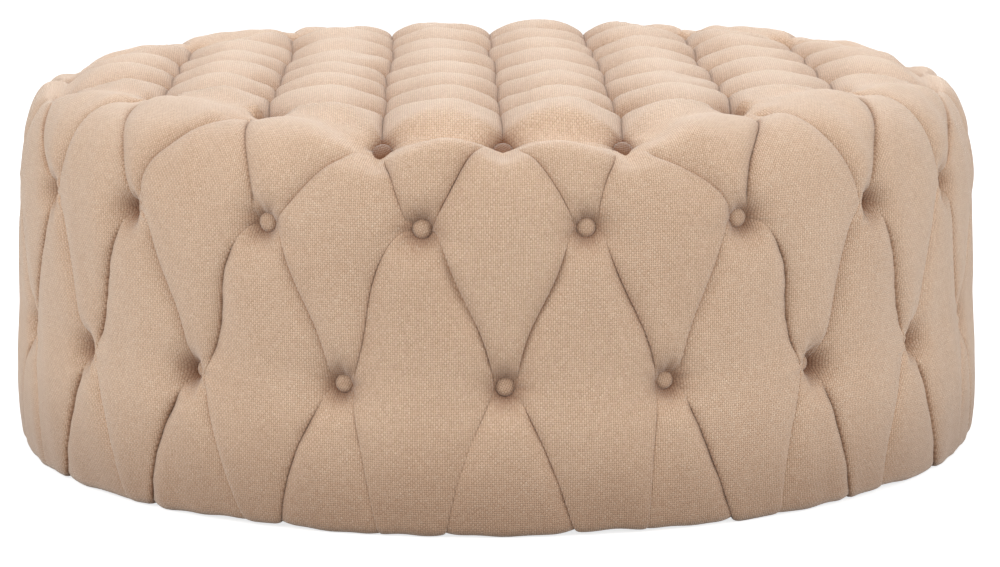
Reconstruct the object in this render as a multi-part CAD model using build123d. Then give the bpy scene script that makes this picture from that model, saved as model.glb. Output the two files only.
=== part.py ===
from build123d import *
import math
import os

os.makedirs("parts", exist_ok=True)

# Round deep-buttoned ottoman, in millimetres.
# The origin is on the floor under its middle, +Z is up and -Y is the front.

# Overall size
diameter = 1016.0
crest_height = 394.0
hem_diameter = 988.0

# Tufts on top: a square grid of buttons, as far out as the field reaches
grid_pitch = 111.0
field_radius = 462.0
field_margin = 2.0
tuft_depth = 42.0
seam_depth = 20.0

# Tufts round the side: two staggered rows, one tuft to each button at the edge of the field
upper_row_height = 286.5
lower_row_height = 139.3
side_seat_radius = 476.0
shoulder_radius = 118.0
shoulder_drop = 10.0
edge_tilt = 40.0
pad_rise_share = 0.22

# Covered buttons
button_diameter = 19.0
button_height = 7.0
button_edge = 2.0
button_shell = 1.2
button_clearance = 0.3
back_thickness = 1.2
eye_width = 5.0
eye_height = 5.0
eye_thickness = 1.4
eye_hole = 2.6

# Twines that pull the buttons in, and the toggles that hold them
twine_diameter = 1.6
twine_hole = 3.0
frame_hole = 6.0
knot_diameter = 4.4
knot_gap = 0.2
toggle_diameter = 18.0
toggle_thickness = 3.0
toggle_gap = 0.2

# Cloth, wadding and foam
cloth = 1.2
lining = 0.6
wadding = 5.0
top_foam = 24.0
side_foam = 24.0
least_cover = 10.0
soft_gap = 0.3

# Wooden frame
deck_thickness = 15.0
base_thickness = 15.0
hoop_thickness = 4.0
upright_width = 42.0
upright_depth = 32.0
upright_count = 8
wood_gap = 0.2
block_size = 40.0
screw_diameter = 4.5
screw_head_diameter = 9.0
screw_head_height = 3.2
screw_length = 50.0
metal_gap = 0.1

# Underside
glide_height = 6.0
glide_diameter = 30.0
glide_inset = 75.0
glide_edge = 1.5
glide_recess = 3.0
glide_count = 6
glide_nail_diameter = 2.2
glide_nail_head = 8.0
glide_nail_head_height = 1.6
glide_nail_length = 18.0
hem_inset = 3.0
hem_turn = 85.0
dust_cover_inset = 14.0

# Staples
staple_crown = 10.0
staple_leg = 8.0
staple_wire = 1.0
hem_staple_count = 40
dust_staple_count = 40
hoop_staple_count = 32
hem_staple_inset = 40.0
dust_staple_inset = 24.0

# Cuts run this far past the faces that they open
overrun = 5.0

# Places and sizes that follow from the ones above
outer_radius = diameter / 2
hem_radius = hem_diameter / 2
hem_z = glide_height + lining
board_z = hem_z + cloth
top_seat_z = crest_height - tuft_depth
cavity_top_z = top_seat_z - least_cover
cavity_radius = side_seat_radius - least_cover
shoulder_top_z = crest_height - shoulder_drop
quilt_z = (upper_row_height + top_seat_z) / 2
wadding_radius = cavity_radius - soft_gap
wadding_top_z = cavity_top_z - soft_gap
foam_top_z = wadding_top_z - wadding
deck_top_z = foam_top_z - top_foam
deck_z = deck_top_z - deck_thickness
base_top_z = board_z + base_thickness
foam_radius = wadding_radius - wadding - soft_gap
hoop_radius = foam_radius - side_foam - soft_gap
hoop_inner = hoop_radius - hoop_thickness
frame_radius = hoop_inner - wood_gap
base_radius = foam_radius
hem_outer = hem_radius - hem_inset
dust_radius = hem_outer - dust_cover_inset
button_radius = button_diameter / 2
upright_face = math.sqrt(frame_radius ** 2 - (upright_width / 2) ** 2)
upright_radius = upright_face - upright_depth / 2


def polar(radius, angle, z):
    """A point at a radius and at an angle in degrees, counted from the front."""
    turn = math.radians(angle - 90)
    return Vector(radius * math.cos(turn), radius * math.sin(turn), z)


def lerp(start, end, share):
    return start + (end - start) * share


def grid_nodes():
    """Whole-number places of the buttons of the top, inside the field."""
    reach = int(field_radius // grid_pitch)
    steps = range(-reach, reach + 1)
    return [(i, j) for i in steps for j in steps if math.hypot(i, j) * grid_pitch <= field_radius]


def edge_nodes(nodes):
    """Buttons of the top that lack a neighbour."""
    beside = ((1, 0), (-1, 0), (0, 1), (0, -1))
    return [n for n in nodes if any((n[0] + a, n[1] + b) not in nodes for a, b in beside)]


def edge_places(edge):
    """Radius and angle of each edge button, in turn round the top from the front."""
    places = [(math.hypot(i, j) * grid_pitch, math.degrees(math.atan2(j, i)) + 90) for i, j in edge]
    return sorted(((r, round(a, 3) % 360) for r, a in places), key=lambda place: place[1])


nodes = grid_nodes()
edge = edge_nodes(nodes)
edge_ring = edge_places(edge)
quilt_reach = max(i for i, j in nodes) + 1
side_count = len(edge_ring)
side_step = 360 / side_count
pinch = math.degrees(button_radius / side_seat_radius)
lower_angles = [k * side_step for k in range(side_count)]
upper_angles = [(k + 1 / 2) * side_step for k in range(side_count)]


def outer_at(z):
    """Radius that the fullest pads reach at a height, from shares of the crest height and the radius."""
    table_share = ((0.0, hem_radius / outer_radius), (0.05, 0.985), (0.2, 0.997), (0.34, 1.0),
                   (0.5, 1.0), (0.7, 0.994), (0.83, 0.978), (0.9, 0.955), (0.96, 0.915), (1.0, 0.87))
    height_share = z / crest_height
    for low, high in zip(table_share, table_share[1:]):
        if height_share <= high[0]:
            between_share = (height_share - low[0]) / (high[0] - low[0])
            return outer_radius * lerp(low[1], high[1], between_share)
    return outer_radius * table_share[-1][1]


def side_levels():
    """Outlines of the side from the hem to the shoulder, as (z, wide, deep, risen).

    wide is the share from narrow to full of the pad over or under a lower button, deep is the share
    of the tuft's depth at its creases, and risen is the way from the upper buttons to the shoulder.
    """
    hem_share = ((0.0, 0.9, 0.1), (0.1, 0.84, 0.35), (0.35, 0.62, 0.45), (0.7, 0.3, 0.55),
                 (0.9, 0.09, 0.85), (1.0, 0.0, 1.0))
    middle_share = ((0.1, 0.85), (0.3, 0.55), (0.5, 0.4), (0.7, 0.55), (0.9, 0.85), (1.0, 1.0))
    top_share = (0.15, 0.4, 0.65, 0.82, 0.94, 1.0)
    levels = [(lerp(board_z, lower_row_height, up), wide, deep, 0) for up, wide, deep in hem_share]
    levels += [(lerp(lower_row_height, upper_row_height, up), up, deep, 0) for up, deep in middle_share]
    levels += [(lerp(upper_row_height, shoulder_top_z, up), 1 - up, 1, up) for up in top_share]
    return levels


def side_outline(z, wide, deep, risen):
    """A closed outline of arcs: one over each lower button, and one from there to the next."""
    half = lerp(pinch, side_step / 2 - pinch, wide)
    full = outer_at(z)
    ends = []
    for lower_angle, (edge_radius, edge_angle) in zip(lower_angles, edge_ring):
        middle = lerp(lower_angle, edge_angle, risen)
        crease = lerp(full, side_seat_radius, deep)
        if risen:
            crease = lerp(edge_radius, side_seat_radius, math.sqrt(1 - risen ** 2))
        ends.append((crease, middle - half))
        ends.append((crease, middle + half))
    ends.append((ends[0][0], ends[0][1] + 360))
    arcs = []
    for (start_radius, start), (end_radius, end) in zip(ends, ends[1:]):
        chord = (start_radius + end_radius) / 2 * math.cos(math.radians(end - start) / 2)
        width = chord * math.radians(end - start)
        rise = min(full - chord, width * pad_rise_share)
        crown = polar(chord + rise, (start + end) / 2, z)
        first = polar(start_radius, start, z)
        arcs.append(ThreePointArc(first, crown, polar(end_radius, end % 360, z)))
    return Wire(arcs)


def quilt_section(y, low, high):
    """Upright section of the quilted top: an arc over each pad, down to the buttons or the seams."""
    places = [i * grid_pitch for i in range(-quilt_reach, quilt_reach + 1)]
    lines = [ThreePointArc(Vector(a, y, low), Vector((a + b) / 2, y, high), Vector(b, y, low))
             for a, b in zip(places, places[1:])]
    corners = [Vector(places[-1], y, low), Vector(places[-1], y, quilt_z),
               Vector(places[0], y, quilt_z), Vector(places[0], y, low)]
    lines += [Line(a, b) for a, b in zip(corners, corners[1:])]
    return Wire(lines)


def quilt():
    """Square pads between the buttons, one row at a time."""
    seam_z = crest_height - seam_depth
    rows = []
    for j in range(-quilt_reach, quilt_reach):
        front = quilt_section(j * grid_pitch, top_seat_z, seam_z)
        middle = quilt_section((j + 1 / 2) * grid_pitch, seam_z, crest_height)
        back = quilt_section((j + 1) * grid_pitch, top_seat_z, seam_z)
        rows.append(Solid.make_loft([front, middle, back]))
    return rows[0].fuse(*rows[1:])


def dome():
    """The round shoulder that trims the outermost pads."""
    far = outer_radius + overrun
    low = board_z - overrun
    flat = outer_radius - shoulder_radius
    shoulder_z = crest_height - shoulder_radius
    half = shoulder_radius / math.sqrt(2)
    with BuildPart() as shape:
        with BuildSketch(Plane.XZ):
            with BuildLine():
                Line((0, low), (far, low))
                Line((far, low), (far, shoulder_z))
                Line((far, shoulder_z), (outer_radius, shoulder_z))
                ThreePointArc((outer_radius, shoulder_z), (flat + half, shoulder_z + half),
                              (flat, crest_height))
                Line((flat, crest_height), (0, crest_height))
                Line((0, crest_height), (0, low))
            make_face()
        revolve(axis=Axis.Z)
    return shape.part.solid()


def tufted_form():
    """The outer form of the cover: pads on top, over the shoulder and down the side."""
    side = Solid.make_loft([side_outline(*level) for level in side_levels()], True)
    corners = [polar(radius + field_margin, angle, quilt_z) for radius, angle in edge_ring]
    above = Vector(0, 0, crest_height + overrun - quilt_z)
    field = Solid.extrude(Face(Wire.make_polygon(corners)), above)
    rim = side.cut(field)
    top = quilt().intersect(field)
    whole = rim.fuse(*top)
    return whole.intersect(dome())


def solids_of(shape):
    """Every solid of a shape or of a list of shapes."""
    if isinstance(shape, (list, tuple)):
        return [solid for item in shape for solid in solids_of(item)]
    return list(shape.solids())


def save(name, shape):
    """One file for each node, holding its separate solids."""
    found = solids_of(shape)
    whole = found[0] if len(found) == 1 else Compound(found)
    export_step(whole, "parts/" + name + ".step")


def cut(shape, tools):
    """A solid with holes in it, without the crumbs that a hole leaves at its rim."""
    return max(solids_of(shape.cut(*solids_of(tools))), key=lambda solid: solid.volume)


def disc(radius, low, high):
    return Solid.make_cylinder(radius, high - low, Plane((0, 0, low)))


def tube(inner, outer, low, high):
    return cut(disc(outer, low, high), disc(inner, low - overrun, high + overrun))


def rod(plane, radius, low, high):
    """A round bar along a plane's normal, between two heights over the plane."""
    foot = plane.origin + plane.z_dir * low
    return Solid.make_cylinder(radius, high - low, Plane(foot, x_dir=plane.x_dir, z_dir=plane.z_dir))


def block(plane, width, depth, low, high):
    """A box centred on a plane's normal, between two heights over the plane."""
    corner = plane.origin - plane.x_dir * (width / 2) - plane.y_dir * (depth / 2) + plane.z_dir * low
    return Solid.make_box(width, depth, high - low, Plane(corner, x_dir=plane.x_dir, z_dir=plane.z_dir))


def placed(shape, planes):
    return [shape.moved(plane.location) for plane in planes]


def radial_plane(radius, angle, z, tilt):
    """A plane whose normal leans outwards from upright by a tilt in degrees."""
    out = polar(1, angle, 0)
    lean = math.radians(tilt)
    normal = out * math.sin(lean) + Vector(0, 0, 1) * math.cos(lean)
    return Plane(polar(radius, angle, z), x_dir=polar(1, angle + 90, 0), z_dir=normal)


def ring_planes(radius, z, angles, tilt):
    return [radial_plane(radius, angle, z, tilt) for angle in angles]


def even_angles(count, start_share):
    return [(k + start_share) * 360 / count for k in range(count)]


outward = 90
upward = 0
downward = 180
field_planes = [Plane((i * grid_pitch, j * grid_pitch, top_seat_z))
                for i, j in nodes if (i, j) not in edge]
edge_planes = [radial_plane(radius, angle, top_seat_z, edge_tilt) for radius, angle in edge_ring]
upper_planes = ring_planes(side_seat_radius, upper_row_height, upper_angles, outward)
lower_planes = ring_planes(side_seat_radius, lower_row_height, lower_angles, outward)
side_planes = upper_planes + lower_planes
toggle_face = math.sqrt(hoop_inner ** 2 - (toggle_diameter / 2) ** 2) - toggle_gap
top_drop = top_seat_z - deck_z + toggle_thickness
side_run = side_seat_radius - toggle_face + toggle_thickness


def drop_along(plane, drop):
    """Length along a plane's normal that goes down by a drop."""
    return drop / plane.z_dir.Z


def top_bars(diameter, drop):
    """A bar down along every twine of the top."""
    return [rod(plane, diameter / 2, -drop_along(plane, drop), 0)
            for plane in field_planes + edge_planes]


def side_bars(diameter, run):
    """A bar inwards along every twine of the side."""
    return [rod(plane, diameter / 2, -run, 0) for plane in side_planes]


top_twine_holes = top_bars(twine_hole, top_drop + overrun)
side_twine_holes = side_bars(twine_hole, side_run + overrun)
top_frame_holes = top_bars(frame_hole, top_drop + overrun)
side_frame_holes = side_bars(frame_hole, side_run + overrun)


def tufted_cover():
    """The tufted cover, open inside for the wadding, with a seat, an eye pocket and a hole
    at each tuft."""
    shape = cut(tufted_form()[0], disc(cavity_radius, board_z - overrun, cavity_top_z))
    seats = []
    for plane in field_planes + edge_planes + side_planes:
        seats.append(rod(plane, button_radius + button_clearance, 0, tuft_depth + overrun))
        seats.append(rod(plane, eye_width / 2 + button_clearance, -eye_height - button_clearance, overrun))
    shape = cut(shape, seats)
    return cut(shape, top_twine_holes + side_twine_holes)


def cap_outline(radius, height):
    """Half section of a button's dome over its straight edge."""
    turn = 2 * math.atan((height - button_edge) / radius)
    swing = radius / math.sin(turn)
    middle = (swing * math.sin(turn / 2), height - swing * (1 - math.cos(turn / 2)))
    Line((0, 0), (radius, 0))
    Line((radius, 0), (radius, button_edge))
    ThreePointArc((radius, button_edge), middle, (0, height))
    Line((0, height), (0, 0))


def button():
    """A cloth-covered button: a domed shell, open underneath."""
    with BuildPart() as shape:
        with BuildSketch(Plane.XZ):
            with BuildLine():
                cap_outline(button_radius, button_height)
            make_face()
            with BuildLine():
                cap_outline(button_radius - button_shell, button_height - button_shell)
            make_face(mode=Mode.SUBTRACT)
        revolve(axis=Axis.Z)
    return shape.part.solid()


def button_back():
    """The plate pressed into a button from below."""
    return disc(button_radius - button_shell, 0, back_thickness)


def button_eye():
    """The flat loop under a button that its twine is tied to."""
    plate = Solid.make_box(eye_width, eye_thickness, eye_height).moved(
        Location((-eye_width / 2, -eye_thickness / 2, -eye_height)))
    across = Plane((0, eye_thickness, -eye_height / 2), x_dir=(1, 0, 0), z_dir=(0, -1, 0))
    return cut(plate, rod(across, eye_hole / 2, 0, 2 * eye_thickness))


def twine(reach):
    """A straight twine down from a button's eye, with the knot under its toggle."""
    radius = twine_diameter / 2
    ball = knot_diameter / 2
    neck = -reach + math.sqrt(ball ** 2 - radius ** 2)
    with BuildPart() as shape:
        with BuildSketch(Plane.XZ):
            with BuildLine():
                Polyline((0, -reach - ball), (0, -eye_height), (radius, -eye_height), (radius, neck))
                ThreePointArc((radius, neck), (ball, -reach), (0, -reach - ball))
            make_face()
        revolve(axis=Axis.Z)
    return shape.part.solid()


def top_twines():
    drop = top_drop + knot_gap + knot_diameter / 2
    upright = placed(twine(drop), field_planes)
    tilted = placed(twine(drop_along(edge_planes[0], drop)), edge_planes)
    return upright + tilted


def side_twines():
    return placed(twine(side_run + knot_gap + knot_diameter / 2), side_planes)


def top_toggles():
    """Round toggles flat under the deck, one on each twine of the top."""
    toggles = []
    for plane, hole in zip(field_planes + edge_planes, top_twine_holes):
        exit_point = plane.origin - plane.z_dir * drop_along(plane, top_drop - toggle_thickness / 2)
        seat = Plane((exit_point.X, exit_point.Y, deck_z))
        toggles.append(cut(rod(seat, toggle_diameter / 2, -toggle_thickness, 0), hole))
    return toggles


def side_toggles():
    """Round toggles inside the hoop, one on each twine of the side."""
    return [cut(rod(plane, toggle_diameter / 2, -side_run, toggle_thickness - side_run), hole)
            for plane, hole in zip(side_planes, side_twine_holes)]


def staple(leg_start):
    """A staple along its plane: the crown's face is at 0 and its legs point down the normal."""
    whole = Solid.make_box(staple_crown, staple_wire, staple_leg)
    inside = Solid.make_box(staple_crown - 2 * staple_wire, 3 * staple_wire, staple_leg).moved(
        Location((staple_wire, -staple_wire, -staple_wire)))
    middle = Location((-staple_crown / 2, -staple_wire / 2, leg_start - staple_leg))
    return cut(whole, inside).moved(middle)


def screw():
    """A flat-headed screw with its head's face at 0, pointing down."""
    head = disc(screw_head_diameter / 2, -screw_head_height, 0)
    shank = disc(screw_diameter / 2, -screw_length, -screw_head_height)
    return head.fuse(shank).solid()


def screw_hole():
    head = disc(screw_head_diameter / 2 + metal_gap, -screw_head_height, overrun)
    shank = disc(screw_diameter / 2 + metal_gap, -screw_length - metal_gap, 0)
    return head.fuse(shank).solid()


def nail():
    """A glide's nail with its head's face at 0, pointing down."""
    head = disc(glide_nail_head / 2, -glide_nail_head_height, 0)
    shank = disc(glide_nail_diameter / 2, -glide_nail_length, -glide_nail_head_height)
    return head.fuse(shank).solid()


half_step = side_step / 2
upright_angles = [(round(k * 2 * side_count / upright_count) + 1 / 2) * half_step
                  for k in range(upright_count)]
base_screw_planes = ring_planes(upright_radius, board_z, upright_angles, downward)
deck_screw_planes = ring_planes(upright_radius, deck_top_z, upright_angles, upward)
hem_staple_planes = ring_planes(base_radius - hem_staple_inset, hem_z,
                                even_angles(hem_staple_count, 0), downward)
dust_staple_planes = ring_planes(base_radius - dust_staple_inset, glide_height,
                                 even_angles(dust_staple_count, 1 / 2), downward)
hoop_staple_planes = ring_planes(hoop_radius, (deck_z + deck_top_z) / 2,
                                 even_angles(hoop_staple_count, 1 / 2), outward)
glide_planes = ring_planes(base_radius - glide_inset, 0, even_angles(glide_count, 1 / 2), downward)

base_screws = placed(screw(), base_screw_planes)
deck_screws = placed(screw(), deck_screw_planes)
base_screw_holes = placed(screw_hole(), base_screw_planes)
deck_screw_holes = placed(screw_hole(), deck_screw_planes)
hem_staples = placed(staple(0), hem_staple_planes)
dust_staples = placed(staple(staple_wire), dust_staple_planes)
hoop_staples = placed(staple(0), hoop_staple_planes)
nail_depth = Location((0, 0, glide_nail_head_height - glide_recess))
glide_nails = placed(nail().moved(nail_depth), glide_planes)


def glides():
    """Low round feet with a recess for the nail's head."""
    shapes = []
    for plane, fixing in zip(glide_planes, glide_nails):
        foot = rod(plane, glide_diameter / 2, -glide_height, 0)
        rounded = foot.fillet(glide_edge, [e for e in foot.edges() if e.center().Z < glide_edge])
        recess = rod(plane, glide_nail_head / 2 + metal_gap, -glide_recess, overrun)
        shapes.append(cut(cut(rounded, recess), fixing))
    return shapes


def uprights():
    """Posts between the two boards, each with a screw into either end."""
    posts = [block(plane, upright_width, upright_depth, 0, deck_z - base_top_z)
             for plane in ring_planes(upright_radius, base_top_z, upright_angles, upward)]
    return [cut(post, [low, high]) for post, low, high in zip(posts, base_screw_holes, deck_screw_holes)]


def glue_blocks():
    """Three-cornered blocks that brace each post to the base board."""
    blocks = []
    for plane in ring_planes(upright_radius - upright_depth / 2, base_top_z, upright_angles, upward):
        corner = plane.origin - plane.x_dir * (upright_width / 2)
        corners = [corner, corner + plane.y_dir * block_size, corner + plane.z_dir * block_size]
        blocks.append(Solid.extrude(Face(Wire.make_polygon(corners)), plane.x_dir * upright_width))
    return blocks


save("tufted_cover", tufted_cover())
save("field_buttons", placed(button(), field_planes))
save("edge_buttons", placed(button(), edge_planes))
save("upper_row_buttons", placed(button(), upper_planes))
save("lower_row_buttons", placed(button(), lower_planes))
save("top_button_backs", placed(button_back(), field_planes + edge_planes))
save("side_button_backs", placed(button_back(), side_planes))
save("top_button_eyes", placed(button_eye(), field_planes + edge_planes))
save("side_button_eyes", placed(button_eye(), side_planes))
save("top_twines", top_twines())
save("side_twines", side_twines())
save("top_toggles", top_toggles())
save("side_toggles", side_toggles())
save("top_wadding", cut(disc(wadding_radius, foam_top_z, wadding_top_z), top_twine_holes))
save("side_wadding", cut(tube(wadding_radius - wadding, wadding_radius, board_z, foam_top_z),
                         side_twine_holes))
save("top_foam", cut(disc(foam_radius, deck_top_z, foam_top_z), top_frame_holes))
save("side_foam", cut(tube(hoop_radius + soft_gap, foam_radius, base_top_z, deck_top_z),
                      side_frame_holes))
save("top_deck", cut(disc(frame_radius, deck_z, deck_top_z),
                     top_frame_holes + deck_screw_holes + hoop_staples))
save("side_hoop", cut(tube(hoop_inner, hoop_radius, base_top_z, deck_top_z),
                      side_frame_holes + hoop_staples))
save("base_board", cut(disc(base_radius, board_z, base_top_z),
                       base_screw_holes + hem_staples + dust_staples + glide_nails))
save("uprights", uprights())
save("glue_blocks", glue_blocks())
save("base_screws", base_screws)
save("deck_screws", deck_screws)
save("hoop_staples", hoop_staples)
save("hem", cut(tube(hem_outer - hem_turn, hem_outer, hem_z, board_z), hem_staples + dust_staples))
save("hem_staples", hem_staples)
save("dust_cover", cut(disc(dust_radius, glide_height, hem_z), dust_staples + glide_nails))
save("dust_cover_staples", dust_staples)
save("glides", glides())
save("glide_nails", glide_nails)
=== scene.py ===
import math

import bmesh
import bpy
import numpy as np
from mathutils import Matrix, Vector


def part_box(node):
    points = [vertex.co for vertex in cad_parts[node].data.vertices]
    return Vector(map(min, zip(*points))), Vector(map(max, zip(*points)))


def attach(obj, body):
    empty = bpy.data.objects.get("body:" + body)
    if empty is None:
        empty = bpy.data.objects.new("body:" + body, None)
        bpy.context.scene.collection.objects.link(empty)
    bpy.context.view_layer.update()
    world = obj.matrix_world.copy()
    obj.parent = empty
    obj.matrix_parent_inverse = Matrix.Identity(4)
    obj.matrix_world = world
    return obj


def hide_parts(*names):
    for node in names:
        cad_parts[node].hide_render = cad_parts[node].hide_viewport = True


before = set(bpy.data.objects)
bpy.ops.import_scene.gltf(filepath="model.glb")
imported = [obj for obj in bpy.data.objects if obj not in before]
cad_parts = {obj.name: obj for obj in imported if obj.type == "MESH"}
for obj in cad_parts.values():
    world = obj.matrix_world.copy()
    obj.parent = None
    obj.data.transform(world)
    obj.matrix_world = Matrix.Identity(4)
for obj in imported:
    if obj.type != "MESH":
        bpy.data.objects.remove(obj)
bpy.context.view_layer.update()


# Round deep-buttoned ottoman, in metres. The front is -Y. Angles count from the front,
# counter-clockwise from above, in degrees.

# Tufts on top: whole pads of a quarter column by column, and those that the ring cuts
GRID_PITCH = 0.111
PAD_ROWS = (4, 3, 2, 1)
CUT_PADS = ((1, 3), (2, 2), (3, 1))
RING_NODES = ((0, -4), (1, -4), (2, -3), (3, -2), (4, -1))
NODE_HEIGHT = 0.352
SEAM_DEPTH = 0.016
SLIT_DEPTH = 0.0065
SLIT_WIDTH = 0.0020
RING_VALLEY = 0.009
RING_VALLEY_WIDTH = 0.018
SEAM_OPENING = 0.010
SEAM_STRAY = 0.0022
TOP_UNEVEN = 0.0014
TOP_GATHERS = 0.0010
EDGE_TILT = math.radians(40)
EDGE_SLOPE = math.tan(EDGE_TILT)
# Painted shade of the seams, the creases in them and the pits
TOP_SHADES = (0.26, 0.55, 0.85)
# Radius of a pit's flat seat and reach of its cone
TOP_PIT = (0.005, 0.0066)
SIDE_PIT = (0.0035, 0.0064)

# Shoulder between the ring and the upper row. A bell has its place and width from the ring,
# and the distance over which it starts. The drop in front starts at the first of its
# angles and is whole at the second. The bulge has its angle and height, with their widths.
SHOULDER_PUFF = 0.0065
PUFF_BELL = (0.028, 0.022, 0.012)
FRONT_DROP = 0.0152
DROP_BELL = (0.024, 0.022, 0.0078)
DROP_ANGLES = (76, 34)
DROP_MIDWAY = 0.65
RIGHT_BULGE = 0.0045
BULGE_BELL = (92, 26, 0.268, 0.034)
EDGE_LEAN = 0.022
EDGE_BLEND = 0.012
LIP_STEEPNESS = 1.9
LIP_SAG = 0.0036
LIP_PLACE = 0.024
LIP_WIDTH = 0.017
LIP_WITHIN = 0.45

# Tufts round the side
ROW_COUNT = 20
STEP = 360 / ROW_COUNT
UPPER_HEIGHT = 0.2865
LOWER_HEIGHT = 0.1393
SEAT_RADIUS = 0.476
SIDE_RADIUS = 0.5
BUTTON_HALF_STEP = 1.15
SIDE_LEAN = 0.008
SLANT_FADE = 0.022
PLEAT_EDGE = 0.007
PLEAT_SLOPE = 0.020
LAP = 0.0022
CROWN_DEPTH = 0.0046
CROWN_WIDTH = 0.034
# Reach and strength of the painted shade that darkens the cloth along each pleat
CREASE_REACH = 0.004
CREASE_SHADE = 0.35
SIDE_UNEVEN = 0.0012
SIDE_GATHERS = 0.0011
# Where a pleat grows after one row of buttons and fades before the next, and how its
# strength varies on its way
PLEAT_START = (0.008, 0.034)
PLEAT_END = (0.006, 0.026)
PLEAT_UNEVEN = 0.18
# What the skirt keeps of its pleats at the bottom edge, how flat its crowns go there, and the
# painted shade that darkens the cloth towards its roll under the edge, with their reaches above the
# edge
SKIRT_PLEATS = 0.30
SKIRT_FLATNESS = 0.9
FLAT_REACH = (0.12, 0.02)
ROLL_SHADE = 0.42
ROLL_REACH = (0.15, 0.02)

# Rows, crowding, depth of the pleats and reach of their laps in the side's three zones: ring
# to upper row, upper to lower row, and the skirt from the lower row to the bottom edge
ZONES = ((46, 0.6, 0.0036, 0.35), (46, 0.6, 0.0044, 0.65), (44, 0.45, 0.0042, 0.65))

# Columns across each pad and panel, and how they crowd towards its pleats
PANEL_COLUMNS = 24
TOP_CROWDING = 0.75
SIDE_CROWDING = 0.82

# Cloth run: the cage's rows and columns, the cap of its moves, and where it is pinned
CAGE_STEP = 3
SWELL_CAP = 0.004
SWELL_FRAMES = 20
HELD_SHADE = 0.3
HELD_HEIGHT = 0.03

# Outline of the stuffed cover in millimetres, radius and height, from the top over the
# shoulder and down the side to the roll under the bottom edge
OUTLINE = np.array((
    (380, 394), (400, 392), (420, 388.5), (440, 383), (458, 375.5), (470, 368), (479, 358),
    (486, 347), (492, 333), (496, 317), (498.5, 300), (499.5, 286), (500.5, 250), (500, 200),
    (500.5, 150), (503, 125), (506, 100), (507.5, 60), (506.5, 30), (505, 14), (503.8, 6),
    (502, 2.2), (499, 1.2), (493, 1.4), (486, 3), (480, 6), (474, 8))) / 1000
CREST = np.concatenate(([(0, 0.3945), (0.35, 0.3945)], OUTLINE[:5]))
CAVITY_RADIUS = 0.4662
CAVITY_TOP = 0.3421


# Pleats that follow the photograph, by the tuft that they leave and the side they take.
# Each share bends the straight line between two tufts: first how early the pleat swings
# out, then how it sways.
SHOULDER_SWAY = {(-1, 1): (-0.20, 0.03), (0, -1): (0.45, 0.0), (0, 1): (0.30, -0.02),
                 (1, -1): (0.95, -0.06), (1, 1): (0.35, -0.08), (-1, -1): (0.35, 0.0),
                 (-2, 1): (0.30, -0.10), (-2, -1): (0.45, -0.18), (2, -1): (0.35, -0.25),
                 (2, 1): (0.45, -0.05)}
DIAMOND_SWAY = {(0, -1): (0.55, -0.06), (-1, 1): (0.95, 0.05), (0, 1): (0.50, -0.07),
                (1, -1): (0.30, -0.05), (-2, 1): (0.60, 0.10), (-1, -1): (0.55, -0.07),
                (2, -1): (0.80, 0.12), (3, -1): (0.70, 0.05)}
# Degrees that the lower pleats spread by at the bottom edge, and their sway
SKIRT_SPREAD = {(0, -1): (7.0, 0.15), (0, 1): (8.2, 0.10), (1, -1): (3.0, 0.10),
                (1, 1): (8.4, 0.05), (2, -1): (4.9, 0.25), (2, 1): (6.4, 0.15),
                (3, -1): (6.4, 0.30), (3, 1): (7.4, 0.05), (-1, -1): (7.3, 0.25),
                (-1, 1): (5.0, 0.0), (-2, -1): (6.8, 0.28), (-2, 1): (8.3, -0.08),
                (-3, 1): (9.2, -0.03), (-3, -1): (6.5, 0.15)}

# How strong the two pleats under each lower button are, from the front one round
SKIRT_SHARES = np.array((0.8, 1.0) + (0.4, 1.1) * 9 + (0.8, 0.8) + (1.1, 0.4) * 9)

# How strong the valley is after each edge button, from the front one round
VALLEY_SHARES = (2.2, 0.95, 1.2, 0.8, 1.1, 0.9, 1.2, 0.7, 1.1, 0.9,
                 1.2, 0.8, 1.0, 1.2, 0.8, 1.1, 0.9, 1.1, 1.2, 1.9)

# How far the shoulder swells after each edge button
PUFF_SHARES = (0.8, 0.9, 0.6, 0.5, 0.6, 0.4, 0.5, 0.5, 0.4, 0.5,
               0.5, 0.4, 0.5, 0.5, 0.4, 0.5, 0.4, 0.6, 0.8, 1.2)

chance = np.random.default_rng(11)


def grid_faces(rows, columns):
    """Four corners of each cell of a grid of points counted row by row."""
    first = np.arange(rows - 1)[:, None] * columns + np.arange(columns - 1)[None, :]
    return np.stack((first, first + columns, first + columns + 1, first + 1), -1).reshape(-1, 4)


def surface(name, points, faces, uv, material, weld=None, shade=None):
    """A smooth closed mesh of these points and four-cornered faces. uv holds a place on the cloth
    for each corner, and shade the painted shade of each point, which grows with how deep it lies in
    a crease or pit. Points that coincide are merged, or only those that weld marks."""
    mesh = bpy.data.meshes.new(name)
    mesh.from_pydata(points.tolist(), [], faces.tolist())
    layer = mesh.uv_layers.new(name="cloth")
    layer.data.foreach_set("uv", np.ascontiguousarray(uv, dtype=np.float32).ravel())
    if shade is not None:
        depth = mesh.attributes.new("shade", "FLOAT", "POINT")
        depth.data.foreach_set("value", np.ascontiguousarray(shade, dtype=np.float32))
    shell = bmesh.new()
    shell.from_mesh(mesh)
    shell.verts.ensure_lookup_table()
    if weld is None:
        joined = shell.verts[:]
    else:
        joined = [shell.verts[index] for index in np.flatnonzero(weld)]
    bmesh.ops.remove_doubles(shell, verts=joined, dist=1e-6)
    loose = [corner for corner in shell.verts if not corner.link_faces]
    bmesh.ops.delete(shell, geom=loose, context="VERTS")
    bmesh.ops.recalc_face_normals(shell, faces=shell.faces)
    shell.to_mesh(mesh)
    shell.free()
    mesh.polygons.foreach_set("use_smooth", np.ones(len(mesh.polygons), dtype=bool))
    mesh.materials.append(material)
    piece = bpy.data.objects.new(name, mesh)
    bpy.context.scene.collection.objects.link(piece)
    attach(piece, "root")
    return piece


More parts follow.
